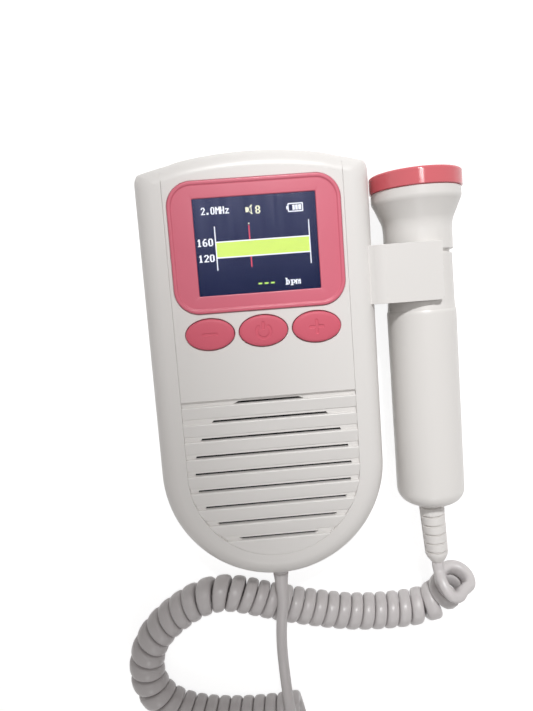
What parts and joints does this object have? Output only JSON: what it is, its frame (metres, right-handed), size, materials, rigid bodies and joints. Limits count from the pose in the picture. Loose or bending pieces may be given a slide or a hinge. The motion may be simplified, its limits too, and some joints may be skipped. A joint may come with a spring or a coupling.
{
  "type": "fetal doppler monitor",
  "caption": "Handheld heartbeat monitor lying on its back: round-ended louvred body with a screen and oval keys, an ultrasound probe in a side clip, and a curly cord between them.",
  "frame": {"origin": "middle of the main unit's flat back face, which lies on the table", "axes": "+X towards the clipped probe, +Y towards the head end, +Z out of the screen"},
  "size_m": [0.1328, 0.2201, 0.032],
  "materials": {
    "shell": "satin warm white moulded plastic, very fine texture",
    "rose": "satin rose plastic",
    "clear": "clear acrylic, glossy",
    "display": "dark display glass",
    "board": "solder-masked circuit board",
    "dark": "matt black plastic",
    "cloth": "black woven dust cloth",
    "paper": "treated paper cone",
    "magnet": "plated ferrite and steel",
    "cell": "printed metal can; aluminium's density stands in for a cell's",
    "contact": "nickel-plated spring steel",
    "screw": "zinc-plated steel",
    "ceramic": "electroded ceramic; steel's density stands in for it",
    "sleeve": "soft matt elastomer, warm white",
    "cord": "soft satin elastomer, light grey"
  },
  "bodies": {
    "unit": {"rear_casing": "shell", "front_casing": "shell", "front_panel": "shell", "screen_bezel": "rose", "display_window": "clear", "lcd_panel": "display", "key_switches": "dark", "main_board": "board", "dust_cloth": "cloth", "speaker_frame": "dark", "speaker_cone": "paper", "speaker_magnet": "magnet", "left_cell": "cell", "right_cell": "cell", "battery_contacts": "contact", "casing_screws": "screw", "earphone_socket": "dark", "probe_clip": "shell", "clip_screws": "screw", "unit_sleeve": "sleeve", "cord_lead": "cord", "cord_coil": "cord"},
    "minus_key": {"minus_key": "rose"},
    "power_key": {"power_key": "rose"},
    "plus_key": {"plus_key": "rose"},
    "door": {"battery_door": "shell"},
    "probe": {"face_ring": "rose", "probe_head": "shell", "probe_grip": "shell", "sound_discs": "ceramic", "disc_backing": "dark", "probe_board": "board", "probe_boot": "sleeve"}
  },
  "joints": [
    {"name": "minus_key_press", "type": "slide", "parent": "unit", "child": "minus_key", "axis": [0, 0, -1], "range_m": [0, 0.0008], "stiffness_N_per_m": 400, "springref_m": -0.0006},
    {"name": "power_key_press", "type": "slide", "parent": "unit", "child": "power_key", "axis": [0, 0, -1], "range_m": [0, 0.0008], "stiffness_N_per_m": 400, "springref_m": -0.0006},
    {"name": "plus_key_press", "type": "slide", "parent": "unit", "child": "plus_key", "axis": [0, 0, -1], "range_m": [0, 0.0008], "stiffness_N_per_m": 400, "springref_m": -0.0006},
    {"name": "door_slide", "type": "slide", "parent": "unit", "child": "door", "axis": [0, 1, 0], "range_m": [0, 0.062]},
    {"name": "probe_unclip", "type": "slide", "parent": "unit", "child": "probe", "axis": [1, 0, 0], "range_m": [0, 0.022], "deforming": ["cord_coil"]}
  ]
}
